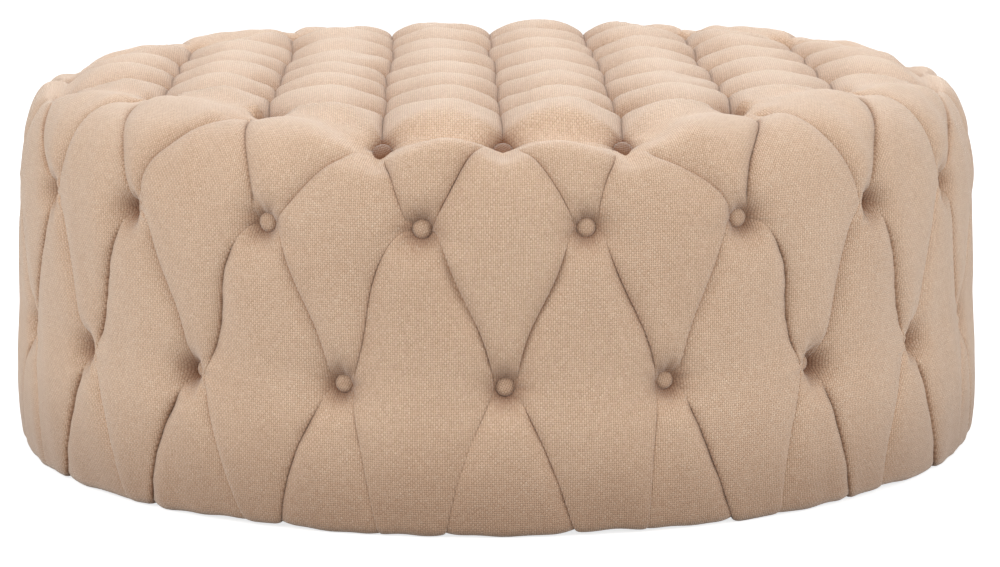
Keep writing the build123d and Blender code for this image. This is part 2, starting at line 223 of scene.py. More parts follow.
def ease(values, start, end):
    """0 before start, 1 after end, and a smooth step of 3t^2 - 2t^3 between them."""
    t = np.clip((values - start) / (end - start), 0, 1)
    return t * t * (3 - 2 * t)


def profile_run(profile):
    """Arc length along a profile, from its first point."""
    return np.append(0, np.cumsum(np.hypot(*np.diff(profile, axis=0).T)))


def crowded(count, share):
    """count + 1 places from 0 to 1, drawn towards both ends: t - share sin(2 pi t) / 2 pi."""
    t = np.linspace(0, 1, count + 1)
    return t - share * np.sin(2 * np.pi * t) / (2 * np.pi)


def polar(radius, angle, height):
    """Points at a radius, an angle in degrees from the front, and a height."""
    turn = np.radians(angle)
    return np.stack(np.broadcast_arrays(radius * np.sin(turn), -radius * np.cos(turn), height), -1)


def front_angle(x, y):
    """Angle of points in degrees from the front."""
    return np.degrees(np.arctan2(x, -y))


def ripples(first, second, count, longest, shortest, seed):
    """A smooth uneven field about 0 to 1 in size: a sum of sine waves in chosen directions
    over two coordinates, with wavelengths from longest to shortest, all seeded."""
    source = np.random.default_rng(seed)
    total = np.zeros(np.broadcast(first, second).shape)
    for length in np.geomspace(longest, shortest, count):
        heading = source.uniform(0, 2 * np.pi)
        phase = source.uniform(0, 2 * np.pi)
        along = first * np.cos(heading) + second * np.sin(heading)
        total += np.sin(2 * np.pi * along / length + phase)
    return total / math.sqrt(count)


def smooth_outline():
    """The outline resampled each millimetre and averaged with a bell of 4 mm: arc length,
    radius, height and the outward normal's two parts."""
    marks = profile_run(OUTLINE)
    places = np.arange(0, marks[-1], 0.001)
    bell = np.exp(-0.5 * (np.arange(-12, 13) / 4) ** 2)
    bell /= bell.sum()
    sides = []
    for side in OUTLINE.T:
        line = np.interp(places, marks, side)
        padded = np.concatenate((2 * line[0] - line[12:0:-1], line, 2 * line[-1] - line[-2:-14:-1]))
        sides.append(np.convolve(padded, bell, "valid"))
    radius, height = sides
    down = np.gradient(height)
    out = np.gradient(radius)
    size = np.hypot(down, out)
    return places, radius, height, -down / size, out / size


LINE, LINE_R, LINE_Z, LINE_NR, LINE_NZ = smooth_outline()


def on_line(places, values):
    """A value of the outline at these arc lengths."""
    return np.interp(places, LINE, values)


def line_place(values, target, start, end):
    """Arc length at which a rising value of the outline reaches target."""
    part = (LINE >= start) & (LINE <= end)
    order = np.argsort(values[part])
    return np.interp(target, values[part][order], LINE[part][order])


UPPER_PLACE = float(line_place(LINE_Z, UPPER_HEIGHT, 0.12, 0.42))
LOWER_PLACE = float(line_place(LINE_Z, LOWER_HEIGHT, 0.12, 0.42))
END_PLACE = float(LINE[-1])
BUTTON_ROWS = ((UPPER_HEIGHT, UPPER_PLACE, STEP / 2), (LOWER_HEIGHT, LOWER_PLACE, 0.0))

quarters = [np.array(RING_NODES, dtype=float)]
for _ in range(3):
    quarters.append(np.stack((-quarters[-1][:, 1], quarters[-1][:, 0]), 1))
RING = np.concatenate(quarters) * GRID_PITCH
RING_RADIUS = np.hypot(RING[:, 0], RING[:, 1])
RING_ANGLE = np.degrees(np.unwrap(np.arctan2(RING[:, 0], -RING[:, 1])))
RING_MARKS = np.concatenate((RING_ANGLE - 360, RING_ANGLE, RING_ANGLE + 360))


def pit(distance, flat, reach):
    """1 under a button, then a cone with soft ends: (1 + t) e^-t past the flat seat."""
    t = np.maximum(distance - flat, 0) / reach
    return (1 + t) * np.exp(-t)


def ring_distance(x, y):
    """Distance from points to the ring's twenty chords, as the least over the chords of the
    distance to the chord's nearest point."""
    run = np.roll(RING, -1, axis=0) - RING
    off_x, off_y = x[..., None] - RING[:, 0], y[..., None] - RING[:, 1]
    part = np.clip((off_x * run[:, 0] + off_y * run[:, 1]) / (run ** 2).sum(1), 0, 1)
    return np.hypot(off_x - part * run[:, 0], off_y - part * run[:, 1]).min(-1)


def between_nodes(x, y):
    """The sine of the turn from one edge button to the next, which is 0 at both and 1
    midway, and the strength that this pair has."""
    turn = np.interp(front_angle(x, y), RING_MARKS, np.arange(len(RING_MARKS)))
    strength = np.array(PUFF_SHARES)[np.floor(turn).astype(int) % ROW_COUNT]
    return np.abs(np.sin(np.pi * turn)), strength


def from_node(x, y):
    """Offset of points from the nearest node of the grid, and that node's column and row."""
    column, row = (np.round(np.round(values / GRID_PITCH, 6)) for values in (x, y))
    return x - column * GRID_PITCH, y - row * GRID_PITCH, column, row


def gathers(distance, bearing, seed):
    """Small folds that run in to a button: a cosine of the bearing, strongest 16 mm out."""
    count = 8 + seed % 3
    fade = np.exp(-((distance - 0.016) / 0.009) ** 2)
    return fade * np.cos(count * bearing + seed * 1.7) * (0.6 + 0.4 * np.cos(bearing + seed))


def ring_valley(x, y, distance):
    """Depth of the soft valley between two edge buttons, a bell over the distance from the
    ring, with a strength of its own between each pair."""
    strength = np.interp(front_angle(x, y), RING_MARKS + STEP / 2, np.tile(VALLEY_SHARES, 3))
    return RING_VALLEY * strength * np.exp(-(distance / RING_VALLEY_WIDTH) ** 2)


def top_height(x, y, seam, crease, from_ring):
    """Height of the cover's top and its painted shade. The height is a crest that falls towards the
    shoulder, less the seams' depth, a soft valley along the ring of edge buttons, and a pit at each
    node. An edge button's seat falls outwards at the button's tilt, and its pit is steeper on the
    inner side. The painted shade, which darkens the cloth's colour, runs from 0 in the open to 1 in
    the pits."""
    crest = np.interp(np.hypot(x, y), CREST[:, 0], CREST[:, 1])
    valley = ring_valley(x, y, from_ring)
    uneven = TOP_UNEVEN * ripples(x, y, 7, 0.30, 0.05, 3)
    open_end = ease(from_ring, 0.0, SEAM_OPENING)
    sunk = (SEAM_DEPTH * seam + SLIT_DEPTH * crease) * open_end
    height = crest - np.maximum(sunk, valley) + uneven
    off_x, off_y, column, row = from_node(x, y)
    distance = np.hypot(off_x, off_y)
    floor = np.full(x.shape, NODE_HEIGHT)
    steeper = np.ones(x.shape)
    for spot, radius in zip(RING, RING_RADIUS):
        here = np.hypot(column * GRID_PITCH - spot[0], row * GRID_PITCH - spot[1]) < 0.01
        outward = (x * spot[0] + y * spot[1]) / radius - radius
        floor = np.where(here, NODE_HEIGHT - EDGE_SLOPE * outward, floor)
        steeper = np.where(here, 1 + 0.4 * np.clip(-outward / 0.008, 0, 1), steeper)
    depth = pit(distance * steeper, *TOP_PIT)
    folds = TOP_GATHERS * gathers(distance, np.arctan2(off_y, off_x), 2)
    seam_shade, crease_shade, pit_shade = TOP_SHADES
    shade = seam_shade * seam + crease_shade * crease * open_end + pit_shade * depth ** 1.3
    return height * (1 - depth) + floor * depth + folds, np.clip(shade, 0, 1)


def seam_profile(offset):
    """Depth share of a seam across half a pad, from 0 at the crest to 1 at the seam:
    0.7 e^2 + 0.3 (1 - root of (1 - e^2)), a flat arc with an upright end."""
    square = np.clip(offset ** 2, 0, 1)
    return 0.7 * square + 0.3 * (1 - np.sqrt(1 - square))


def slit(offset, run):
    """Share of the narrow crease in a seam, e^(-distance / width) at an offset from -1 to 1
    across a pad, and least halfway along the seam, where run is 0: 0.3 + 0.7 |run|^3."""
    across = np.exp(-(1 - np.abs(offset)) * GRID_PITCH / 2 / SLIT_WIDTH)
    return across * (0.3 + 0.7 * np.abs(run) ** 3)


def wander(x, y, from_ring):
    """How far the seams stray sideways between the nodes: ripples of 2 mm that fade out
    at the nodes and the ring."""
    away = np.hypot(*from_node(x, y)[:2])
    free = SEAM_STRAY * (1 - np.exp(-(away / 0.022) ** 2)) * ease(from_ring, 0.0, 0.025)
    return free * ripples(x, y, 5, 0.25, 0.06, 31), free * ripples(x, y, 5, 0.25, 0.06, 32)


def pad_cells():
    """Column, row and directions of each pad of the top, and whether a chord of the ring
    cuts it. The cut pads come last."""
    whole = [(column, row) for column, rows in enumerate(PAD_ROWS) for row in range(rows)]
    return [(column, row, across, along, cut)
            for cut, pads in ((False, whole), (True, CUT_PADS)) for column, row in pads
            for across in (1, -1) for along in (1, -1)]


def seam_offset(place, beside, goes_on, cut):
    """Offset from 0 in a pad's middle to 1 at a seam. A far seam that doesn't go on past the
    pad is left out, and on a cut pad it fades out over a quarter pad."""
    fade = np.maximum(1 - 4 * beside, 0) if cut else 1.0
    return np.abs(2 * place - 1) * np.where(place > 0.5, goes_on * fade, 1.0)


def top_patch():
    """The pads on top. Each is a grid of a and b from 0 to 1, crowded towards its seams, and
    its height is top_height with seams at its sides. Cut pads keep the half with
    a + b at most 1."""
    t = crowded(PANEL_COLUMNS, TOP_CROWDING)
    a, b = np.meshgrid(t, t, indexing="ij")
    index_a, index_b = np.indices(a.shape)
    past = index_a + index_b == PANEL_COLUMNS + 1
    folded = np.where(past, t[index_b - past], b)
    faces = grid_faces(PANEL_COLUMNS + 1, PANEL_COLUMNS + 1)
    inside = (index_a + index_b)[:-1, :-1].ravel() < PANEL_COLUMNS
    pads, cells = [], []
    for column, row, across, along, cut in pad_cells():
        down = folded if cut else b
        side_a = seam_offset(a, down, column < 3, cut)
        side_b = seam_offset(down, a, row < 3, cut)
        cells.append((faces[inside] if cut else faces) + len(pads) * a.size)
        pads.append((across * (column + a) * GRID_PITCH, along * (row + down) * GRID_PITCH,
                     seam_profile(side_a) + seam_profile(side_b),
                     np.maximum(slit(side_a, 2 * down - 1), slit(side_b, 2 * a - 1))))
    x, y, seam, crease = np.stack(pads, 1)
    from_ring = ring_distance(x, y)
    z, shade = top_height(x, y, seam, crease, from_ring)
    stray_x, stray_y = wander(x, y, from_ring)
    points = np.stack((x + stray_x, y + stray_y, z), -1).reshape(-1, 3)
    return points, np.concatenate(cells), shade.ravel()


def sway(places, swing, wave):
    """How far a pleat has come from one tuft to the next: t + swing (root t - t)
    + wave sin(2 pi t)."""
    return places + swing * (np.sqrt(places) - places) + wave * np.sin(2 * np.pi * places)


def pleat_paths():
    """Angles of the 40 pleat lines and the first again, row by row, in the three zones:
    ring to upper row, upper to lower row, and lower row to the bottom edge."""
    zones = [[], [], []]
    shoulder, diamond, skirt = (crowded(*zone[:2]) for zone in ZONES)
    for index in range(ROW_COUNT):
        near = (index + ROW_COUNT // 2) % ROW_COUNT - ROW_COUNT // 2
        for side in (-1, 1):
            upper = STEP * (index + side / 2) - side * BUTTON_HALF_STEP
            lower = STEP * index + side * BUTTON_HALF_STEP
            usual = (0.35 + chance.uniform(-0.25, 0.25), chance.uniform(-0.08, 0.02))
            swing, wave = SHOULDER_SWAY.get((near, side), usual)
            run = sway(shoulder, swing, wave)
            zones[0].append(RING_ANGLE[index] + (upper - RING_ANGLE[index]) * run)
            usual = (0.55 + chance.uniform(-0.2, 0.2), chance.uniform(-0.09, 0.06))
            swing, wave = DIAMOND_SWAY.get((near, side), usual)
            zones[1].append(upper + (lower - upper) * sway(diamond, swing, wave))
            usual = (6.8 + chance.uniform(-1.8, 1.8), chance.uniform(0, 0.25))
            spread, bow = SKIRT_SPREAD.get((near, side), usual)
            run = skirt + bow * np.sin(np.pi * skirt)
            zones[2].append(lower + side * (spread - BUTTON_HALF_STEP) * run)
    return [np.stack(zone + [zone[0] + 360], 1) for zone in zones]


def start_places(fraction):
    """Where the columns of the 40 panels leave the ring, as points on the ring: all at a
    node in the panels below one, and along the chord to the next node in the others."""
    ahead = np.roll(RING, -1, axis=0)
    at_node = np.repeat(RING[:, None, :], len(fraction), 1)
    chord = RING[:, None, :] + (ahead - RING)[:, None, :] * fraction[None, :, None]
    return np.stack((at_node, chord), 1).reshape(2 * ROW_COUNT, len(fraction), 2)


def panel_columns(paths, places, fractions):
    """Angle and the two distances to the pleats for each column of each panel, where paths
    holds the pleats' angles and places their arc lengths, row by row. The pleats' slant
    fades out at the rows of buttons, where it turns over."""
    slant = SIDE_RADIUS * np.radians(np.gradient(paths, axis=0)) / np.gradient(places, axis=0)
    slant *= ease(places - places[:1], 0, SLANT_FADE) * ease(places[-1:] - places, 0, SLANT_FADE)
    upright = 1 / np.sqrt(1 + slant ** 2)
    left, right = paths[:, :-1, None], paths[:, 1:, None]
    angle = left + (right - left) * fractions
    to_left = SIDE_RADIUS * np.radians(angle - left) * upright[:, :-1, None]
    to_right = SIDE_RADIUS * np.radians(right - angle) * upright[:, 1:, None]
    return angle, to_left, to_right, slant, upright


def fold(distance, over):
    """Depth share near a pleat: a tight rounded edge of 7 mm on the panel that laps over,
    and a slope of 20 mm on the one that it covers."""
    edge = 1 - np.clip(distance / PLEAT_EDGE, 0, 1)
    slope = 1 - np.clip(distance / PLEAT_SLOPE, 0, 1)
    return np.where(over, 1 - np.sqrt(1 - edge ** 2), slope ** 2)


def lap(distance):
    """How far the lapping edge reaches over its neighbour: 2.2 mm at most, 2.2 mm in."""
    t = distance / LAP
    return LAP * t * np.exp(1 - t)


def leaning(across, along, seat_angle):
    """Distance from a side button for its pit. At the left and right the panel on the front
    side swells over the button: the pit lies SIDE_LEAN further back, and its front wall is
    steeper, so that distances there count 1.45 times."""
    sideways = np.sin(np.radians(seat_angle))
    lean = np.sign(sideways) * ease(np.abs(sideways), 0.44, 0.62)
    shifted = across - SIDE_LEAN * lean
    front = 1 + 0.45 * np.abs(lean) * (shifted * lean < 0)
    return np.hypot(shifted * front, along)


def zone_grids(starts):
    """For each zone of the side the pleats' angles and arc lengths row by row, the columns'
    shares of the panels' width and the points' arc lengths, and the arc lengths on the ring.
    The shoulder's columns start from the points on the ring."""
    paths = pleat_paths()
    fraction = crowded(PANEL_COLUMNS, SIDE_CROWDING)
    start_line = line_place(LINE_R, np.hypot(starts[..., 0], starts[..., 1]), 0, 0.2)
    ring_line = line_place(LINE_R, RING_RADIUS, 0, 0.2)
    marks = (np.append(np.repeat(ring_line, 2), ring_line[0]), UPPER_PLACE, LOWER_PLACE,
             END_PLACE)
    span = np.diff(paths[0][0])[:, None]
    from_left = front_angle(starts[..., 0], starts[..., 1]) - paths[0][0, :-1, None]
    first = np.where(span > 1e-6, ((from_left + 180) % 360 - 180) / np.maximum(span, 1e-6),
                     fraction)
    grids = []
    for zone, path in enumerate(paths):
        rows = crowded(*ZONES[zone][:2])[:, None]
        start, end = marks[zone:zone + 2]
        places = np.broadcast_to(start + (end - start) * rows, path.shape)
        start = start if zone else start_line
        line = start + (end - start) * rows[..., None]
        line = np.broadcast_to(line, (*path[:, 1:].shape, PANEL_COLUMNS + 1))
        blend = 1 if zone else ease(rows[..., None], 0.0, 0.6)
        grids.append((path, places, first * (1 - blend) + fraction * blend, line))
    return grids, start_line


def pleated(zone, path, places, fractions, line):
    """Angle, arc length, depth, zone and painted shade of a zone's points; the painted shade
    darkens the cloth along each pleat. Each panel is a crown that falls to its pleats. Every second
    panel laps over its neighbours, in the skirt the others, and the skirt's crown goes flat towards
    the bottom edge."""
    _, _, pleat_depth, reach = ZONES[zone]
    skirt = zone == 2
    over = (np.arange(2 * ROW_COUNT) % 2 == skirt)[None, :, None]
    angle, to_left, to_right, slant, upright = panel_columns(path, places, fractions)
    left_over = places[-1:] - places
    strength = ease(places - places[:1], *PLEAT_START) \
        * np.maximum(ease(left_over, *PLEAT_END), SKIRT_PLEATS * skirt) \
        * (1 + PLEAT_UNEVEN * ripples(path, places * 900, 4, 60, 17, 5 + zone))
    pulled = np.random.default_rng(51 + zone).uniform(0.5, 1.15, 2 * ROW_COUNT)
    if skirt:
        pulled = pulled * SKIRT_SHARES
    strength = strength * np.append(pulled, pulled[0])
    flat_end = 1 - SKIRT_FLATNESS * skirt * ease(left_over, *FLAT_REACH)
    part = np.clip(np.minimum(to_left, to_right) / CROWN_WIDTH, 0, 1)
    crown = CROWN_DEPTH * (1 - np.sqrt(1 - (1 - part) ** 2)) * flat_end[:, :-1, None]
    groove, shade, turn, drop = np.zeros((4, *angle.shape))
    for side, distance, pleats in ((-1, to_left, slice(None, -1)), (1, to_right, slice(1, None))):
        pull, lean, straight = (each[:, pleats, None] for each in (strength, slant, upright))
        groove = np.maximum(groove, fold(distance, over) * pull)
        shade = np.maximum(shade, np.exp(-distance / CREASE_REACH) * pull)
        shift = side * reach * lap(distance) * pull * over * straight
        turn += shift
        drop -= shift * lean
    return (angle + np.degrees(turn / SIDE_RADIUS), line + drop, pleat_depth * groove + crown,
            np.full(angle.shape, zone), CREASE_SHADE * shade)


def side_pits(radius, angle, line):
    """Depth of the side buttons' pits and gathers, and the pits' share from 0 to 1."""
    depth, share = np.zeros((2, *angle.shape))
    for _, place, half in BUTTON_ROWS:
        nearest = np.round((angle - half) / STEP)
        seat_angle = nearest * STEP + half
        across, along = radius * np.radians(angle - seat_angle), line - place
        here = pit(leaning(across, along, seat_angle), *SIDE_PIT)
        seed = nearest % ROW_COUNT + int(half)
        folds = gathers(np.hypot(across, along), np.arctan2(along, across), seed)
        depth += SIDE_GATHERS * folds + (on_line(place, LINE_R) - SEAT_RADIUS) * here
        share = np.maximum(share, here)
    return depth, share


def edge_seats(points, base, shade):
    """The side's points and painted shade with the seats of the edge buttons: points near a button
    are drawn to its tilted seat, steeply from outside, with painted shade darkening the pit, and
    the lip outside the buttons nearest to the middle sags."""
    panel = np.arange(2 * ROW_COUNT)
    for step in (0, 1):
        index = (panel + step) // 2 % ROW_COUNT
        counted = np.where((panel % 2 == 0) & (step == 1), 0.0, 1.0)[:, None]
        radius = RING_RADIUS[index, None]
        away = base[..., :2] - RING[index][:, None]
        outward = (base[..., :2] * RING[index][:, None]).sum(-1) / radius - radius
        level = base[..., 2] - np.interp(radius, CREST[:, 0], CREST[:, 1])
        flat = (away ** 2).sum(-1)
        distance = np.sqrt(flat + level ** 2)
        share = counted * pit(distance + LIP_STEEPNESS * np.maximum(outward, 0), *TOP_PIT)
        shade = np.maximum(shade, 0.8 * share ** 1.5)
        across = np.sqrt(np.maximum(flat - outward ** 2, 0))
        sag = LIP_SAG * np.exp(-((outward - LIP_PLACE) / LIP_WIDTH) ** 2
                               - (across / LIP_WIDTH) ** 2)
        points[..., 2] -= counted * sag * (radius < LIP_WITHIN)
        seat = np.stack((base[..., 0], base[..., 1], NODE_HEIGHT - EDGE_SLOPE * outward), -1)
        points = points * (1 - share[..., None]) + seat * share[..., None]
    return points, shade


def starting_bell(distance, place, width, start):
    """A bell over the distance from the ring that is 0 at the ring itself."""
    return np.exp(-((distance - place) / width) ** 2) * (1 - np.exp(-(distance / start) ** 2))


def side_patch():
    """The cover's side, from the ring of edge buttons to the roll under the bottom edge.
    Rows run down the outline's arc length and columns round it, panel by panel. Each point
    lies on the outline of revolution, less the depth of the pleats, pits and folds. Its
    first row is the top's edge."""
    starts = start_places(crowded(PANEL_COLUMNS, TOP_CROWDING))
    grids, start_line = zone_grids(starts)
    parts = zip(*(pleated(zone, *grid) for zone, grid in enumerate(grids)))
    angle, line, groove, zone, shade = (
        np.concatenate([part[(number > 0):] for number, part in enumerate(same)])
        for same in parts)
    radius, height = on_line(line, LINE_R), on_line(line, LINE_Z)
    base = polar(radius, angle, height)
    from_ring = line - start_line
    shoulder = zone == 0
    depth, share = side_pits(radius, angle, line)
    valley = ring_valley(base[..., 0], base[..., 1], from_ring) * shoulder
    midway, strength = between_nodes(base[..., 0], base[..., 1])
    puff = SHOULDER_PUFF * midway * strength * starting_bell(from_ring, *PUFF_BELL)
    bulge_angle, bulge_spread, bulge_height, bulge_rise = BULGE_BELL
    bulge = RIGHT_BULGE * np.exp(-((angle - bulge_angle) / bulge_spread) ** 2
                                 - ((height - bulge_height) / bulge_rise) ** 2)
    uneven = SIDE_UNEVEN * ripples(SIDE_RADIUS * np.radians(angle), line, 9, 0.32, 0.045, 4)
    depth += (1 - share) * (np.maximum(groove, valley) - puff) + uneven - bulge
    # Painted shade: darker in the side's pits, and darker towards the bottom edge where the cloth
    # rolls under
    shade = np.maximum(shade, 0.9 * share ** 1.2)
    shade = np.maximum(shade, ROLL_SHADE * ease(END_PLACE - line, *ROLL_REACH))
    lean = np.exp(-np.maximum(from_ring, 0) / EDGE_LEAN) * shoulder
    out = on_line(line, LINE_NR) * (1 - lean)
    up = on_line(line, LINE_NZ) * (1 - lean) + lean
    size = np.hypot(out, up)
    points = base - polar(out / size, angle, up / size) * depth[..., None]
    off_front = np.abs((angle + 180) % 360 - 180)
    points[..., 2] -= FRONT_DROP * ease(off_front, *DROP_ANGLES) * (1 - DROP_MIDWAY * midway) \
        * shoulder * starting_bell(from_ring, *DROP_BELL)
    points, shade = edge_seats(points, base, shade)
    x, y = starts[..., 0], starts[..., 1]
    none = np.zeros(x.shape)
    edge_height, edge_shade = top_height(x, y, none, none, none)
    fade = np.exp(-np.maximum(from_ring, 0) / EDGE_BLEND)
    points = points + (np.stack((x, y, edge_height), -1) - points[:1]) * fade[..., None]
    shade = shade + (edge_shade - shade[:1]) * fade
    return points, angle, line, shade


def kernel(fine, picks):
    """Weights that carry values at the picked indexes to all of them: the cubic kernel
    1 - 2.5 d^2 + 1.5 d^3 within one step and 2 - 4 d + 2.5 d^2 - 0.5 d^3 within two."""
    place = np.interp(np.arange(fine), picks, np.arange(len(picks)))
    d = np.abs(place[:, None] - np.arange(len(picks)))
    inner = 1 - 2.5 * d ** 2 + 1.5 * d ** 3
    outer = 2 - 4 * d + 2.5 * d ** 2 - 0.5 * d ** 3
    weights = np.where(d < 1, inner, np.where(d < 2, outer, 0))
    return weights / weights.sum(1, keepdims=True)


def swollen(points, faces, held):
    """Where the points of a closed cage end after a Cloth run under pressure with no
    gravity, with the held points pinned."""
    mesh = bpy.data.meshes.new("cage")
    mesh.from_pydata(points.tolist(), [], faces)
    cage = bpy.data.objects.new("cage", mesh)
    scene = bpy.context.scene
    scene.collection.objects.link(cage)
    cage.vertex_groups.new(name="held").add(np.flatnonzero(held).tolist(), 1.0, "REPLACE")
    cloth = cage.modifiers.new("Cloth", "CLOTH")
    settings = cloth.settings
    settings.quality = 5
    settings.vertex_group_mass = "held"
    settings.use_pressure = True
    settings.uniform_pressure_force = 4
    settings.effector_weights.gravity = 0
    cloth.collision_settings.use_collision = False
    for frame_number in range(1, SWELL_FRAMES + 1):
        scene.frame_set(frame_number)
    settled = cage.evaluated_get(bpy.context.evaluated_depsgraph_get()).data
    ends = np.empty(len(points) * 3, dtype=np.float32)
    settled.vertices.foreach_get("co", ends)
    scene.frame_set(1)
    bpy.data.objects.remove(cage)
    bpy.data.meshes.remove(mesh)
    return ends.reshape(-1, 3)


def swell(top, top_shade, side, side_shade):
    """How far each point of the pads and panels moves as the stuffing presses the cloth out.
    A cage of every third row and column is run as cloth, pinned along seams, pleats, pits,
    the ring and the underside, and its moves, capped at c tanh(m / c), are carried back."""
    fine = PANEL_COLUMNS + 1
    steps = np.arange(0, fine, CAGE_STEP)
    rows = np.round(np.linspace(0, len(side) - 1, len(side) // CAGE_STEP)).astype(int)
    size = len(steps)
    pads = top.reshape(-1, fine, fine, 3)[:, steps][:, :, steps]
    pad_shade = top_shade.reshape(-1, fine, fine)[:, steps][:, :, steps]
    panels, panel_shade = side[rows][:, :, steps], side_shade[rows][:, :, steps]
    whole = len(pads) - 4 * len(CUT_PADS)
    edge = np.arange(size) % (size - 1) == 0
    pad_held = edge[:, None] | edge | (pad_shade > HELD_SHADE)
    pad_held[whole:] |= np.indices((size, size)).sum(0) >= size - 1
    panel_held = edge | (panel_shade > HELD_SHADE) | (panels[..., 2] < HELD_HEIGHT)
    panel_held[:2] = True
    every = np.concatenate((pads.reshape(-1, 3), panels.reshape(-1, 3), [(0.0, 0.0, 0.008)]))
    held = np.concatenate((pad_held.ravel(), panel_held.ravel(), [True]))
    _, first, merged = np.unique(np.round(every, 6), axis=0, return_index=True,
                                 return_inverse=True)
    merged = merged.ravel()
    quads = grid_faces(size, size)
    corner = (quads // size + quads % size)[:, 0]
    offsets = np.arange(len(pads))[:, None, None] * size ** 2
    start = pads.size // 3
    down = start + np.arange(panels.size // 3).reshape(panels.shape[:3])
    sides = np.stack((down[:-1, :, :-1], down[1:, :, :-1], down[1:, :, 1:], down[:-1, :, 1:]), -1)
    pole = np.full_like(down[-1, :, 1:], len(every) - 1)
    below = np.stack((down[-1, :, :-1], pole, down[-1, :, 1:]), -1)
    faces = []
    for part in (quads + offsets[:whole], quads[corner < size - 2] + offsets[whole:],
                 quads[corner == size - 2][:, (0, 1, 3)] + offsets[whole:], sides, below):
        for corners in merged[part.reshape(-1, part.shape[-1])].tolist():
            unique = list(dict.fromkeys(corners))
            if len(unique) > 2:
                faces.append(unique)
    pinned = np.zeros(len(first), dtype=bool)
    np.logical_or.at(pinned, merged, held)
    move = swollen(every[first], faces, pinned)[merged] - every
    length = np.linalg.norm(move, axis=1, keepdims=True)
    move *= np.tanh(length / SWELL_CAP) * SWELL_CAP / np.maximum(length, 1e-9)
    move[pinned[merged]] = 0
    spread = kernel(fine, steps)
    pads_move = np.einsum("ia,jb,nabk->nijk", spread, spread, move[:start].reshape(pads.shape))
    pads_move[whole:] *= (np.indices((fine, fine)).sum(0) < PANEL_COLUMNS)[..., None]
    panels_move = np.einsum("ra,jb,anbk->rnjk", kernel(len(side), rows), spread,
                            move[start:-1].reshape(panels.shape))
    pads_move[:, (0, -1)] = 0
    for moves in (pads_move, panels_move):
        moves[:, :, (0, -1)] = 0
    panels_move[0] = 0
    return pads_move.reshape(-1, 3), panels_move


def cover_mesh(material):
    """The whole cover: pads on top, the side, the roll under, and the wall and ceiling of the
    hollow that the padding and the frame fill, closed at one pole."""
    top, top_faces, top_shade = top_patch()
    side, angle, line, side_shade = side_patch()
    top_move, side_move = swell(top, top_shade, side, side_shade)
    top, side = top + top_move, side + side_move

    def wrapped(values, turn=0):
        """The panels' columns in one row, and the first again after a turn."""
        values = values[:, :, :-1].reshape(len(side), 2 * ROW_COUNT * PANEL_COLUMNS, -1)
        return np.concatenate((values, values[:, :1] + turn), 1)

    points, angle, line, shade = (wrapped(side), wrapped(angle, 360)[..., 0],
                                  wrapped(line)[..., 0], wrapped(side_shade)[..., 0])
    hollow = [(CAVITY_RADIUS, height) for height in (0.0084, 0.12, 0.23, CAVITY_TOP)]
    hollow += [(radius, CAVITY_TOP) for radius in (0.30, 0.15, 0.0)]
    inner = np.stack([polar(radius, angle[-1], height) for radius, height in hollow])
    points = np.concatenate((points, inner))
    faces = np.concatenate((top_faces, grid_faces(*points.shape[:2]) + len(top)))
    uv = np.stack((SIDE_RADIUS * np.radians(angle), line), -1)
    uv = np.concatenate((uv, np.repeat(uv[-1:], len(inner), 0))).reshape(-1, 2)
    uv = np.concatenate((top[:, :2], uv))
    weld = np.zeros(points.shape[:2], dtype=bool)
    weld[(0, -1), :] = True
    weld[:, (0, -1)] = True
    weld = np.concatenate((np.ones(len(top), dtype=bool), weld.ravel()))
    shade = np.concatenate((top_shade, shade.ravel(), np.zeros(inner[..., 0].size)))
    points = np.concatenate((top, points.reshape(-1, 3)))
    return surface("cover", points, faces, uv[faces], material, weld, shade)


def feed(tree, made, **inputs):
    """A node whose inputs take values or other nodes' outputs. An input is named, or counted
    as i0, i1 and so on."""
    for name, value in inputs.items():
        counted = name[0] == "i" and name[1:].isdigit()
        socket = made.inputs[int(name[1:]) if counted else name.replace("_", " ")]
        if isinstance(value, bpy.types.NodeSocket):
            tree.links.new(value, socket)
        else:
            socket.default_value = value
    return made


def node(tree, kind, settings=None, **inputs):
    """A new shader node with its settings and inputs."""
    made = tree.nodes.new("ShaderNode" + kind)
    for name, value in (settings or {}).items():
        setattr(made, name, value)
    return feed(tree, made, **inputs)


def calc(tree, operation, first, second=0.0, third=0.0):
    """A Math node's output."""
    return node(tree, "Math", {"operation": operation}, i0=first, i1=second, i2=third).outputs[0]


def vector(tree, operation, **inputs):
    """A Vector Math node's output."""
    return node(tree, "VectorMath", {"operation": operation}, **inputs).outputs[0]


def weighted(tree, *terms):
    """The sum of values times their weights."""
    total = 0.0
    for value, weight in terms:
        total = calc(tree, "MULTIPLY_ADD", value, weight, total)
    return total


def span(tree, value, low, high, start, end):
    """A value's way from low to high, carried to start and end."""
    return node(tree, "MapRange", {}, Value=value, i1=low, i2=high, i3=start, i4=end).outputs[0]


def noise(tree, vector, scale, detail=2.0, roughness=0.5):
    """A Noise Texture's value."""
    return node(tree, "TexNoise", {}, Vector=vector, Scale=scale, Detail=detail,
                Roughness=roughness).outputs["Fac"]


def group(name, inputs, outputs):
    """An empty shader group with named inputs (kind, default) and outputs."""
    tree = bpy.data.node_groups.new(name, "ShaderNodeTree")
    for label, (kind, default) in inputs.items():
        socket = tree.interface.new_socket(label, in_out="INPUT", socket_type="NodeSocket" + kind)
        if default is not None:
            socket.default_value = default
    for label in outputs:
        tree.interface.new_socket(label, in_out="OUTPUT", socket_type="NodeSocketFloat")
    return tree, tree.nodes.new("NodeGroupInput").outputs, tree.nodes.new("NodeGroupOutput")


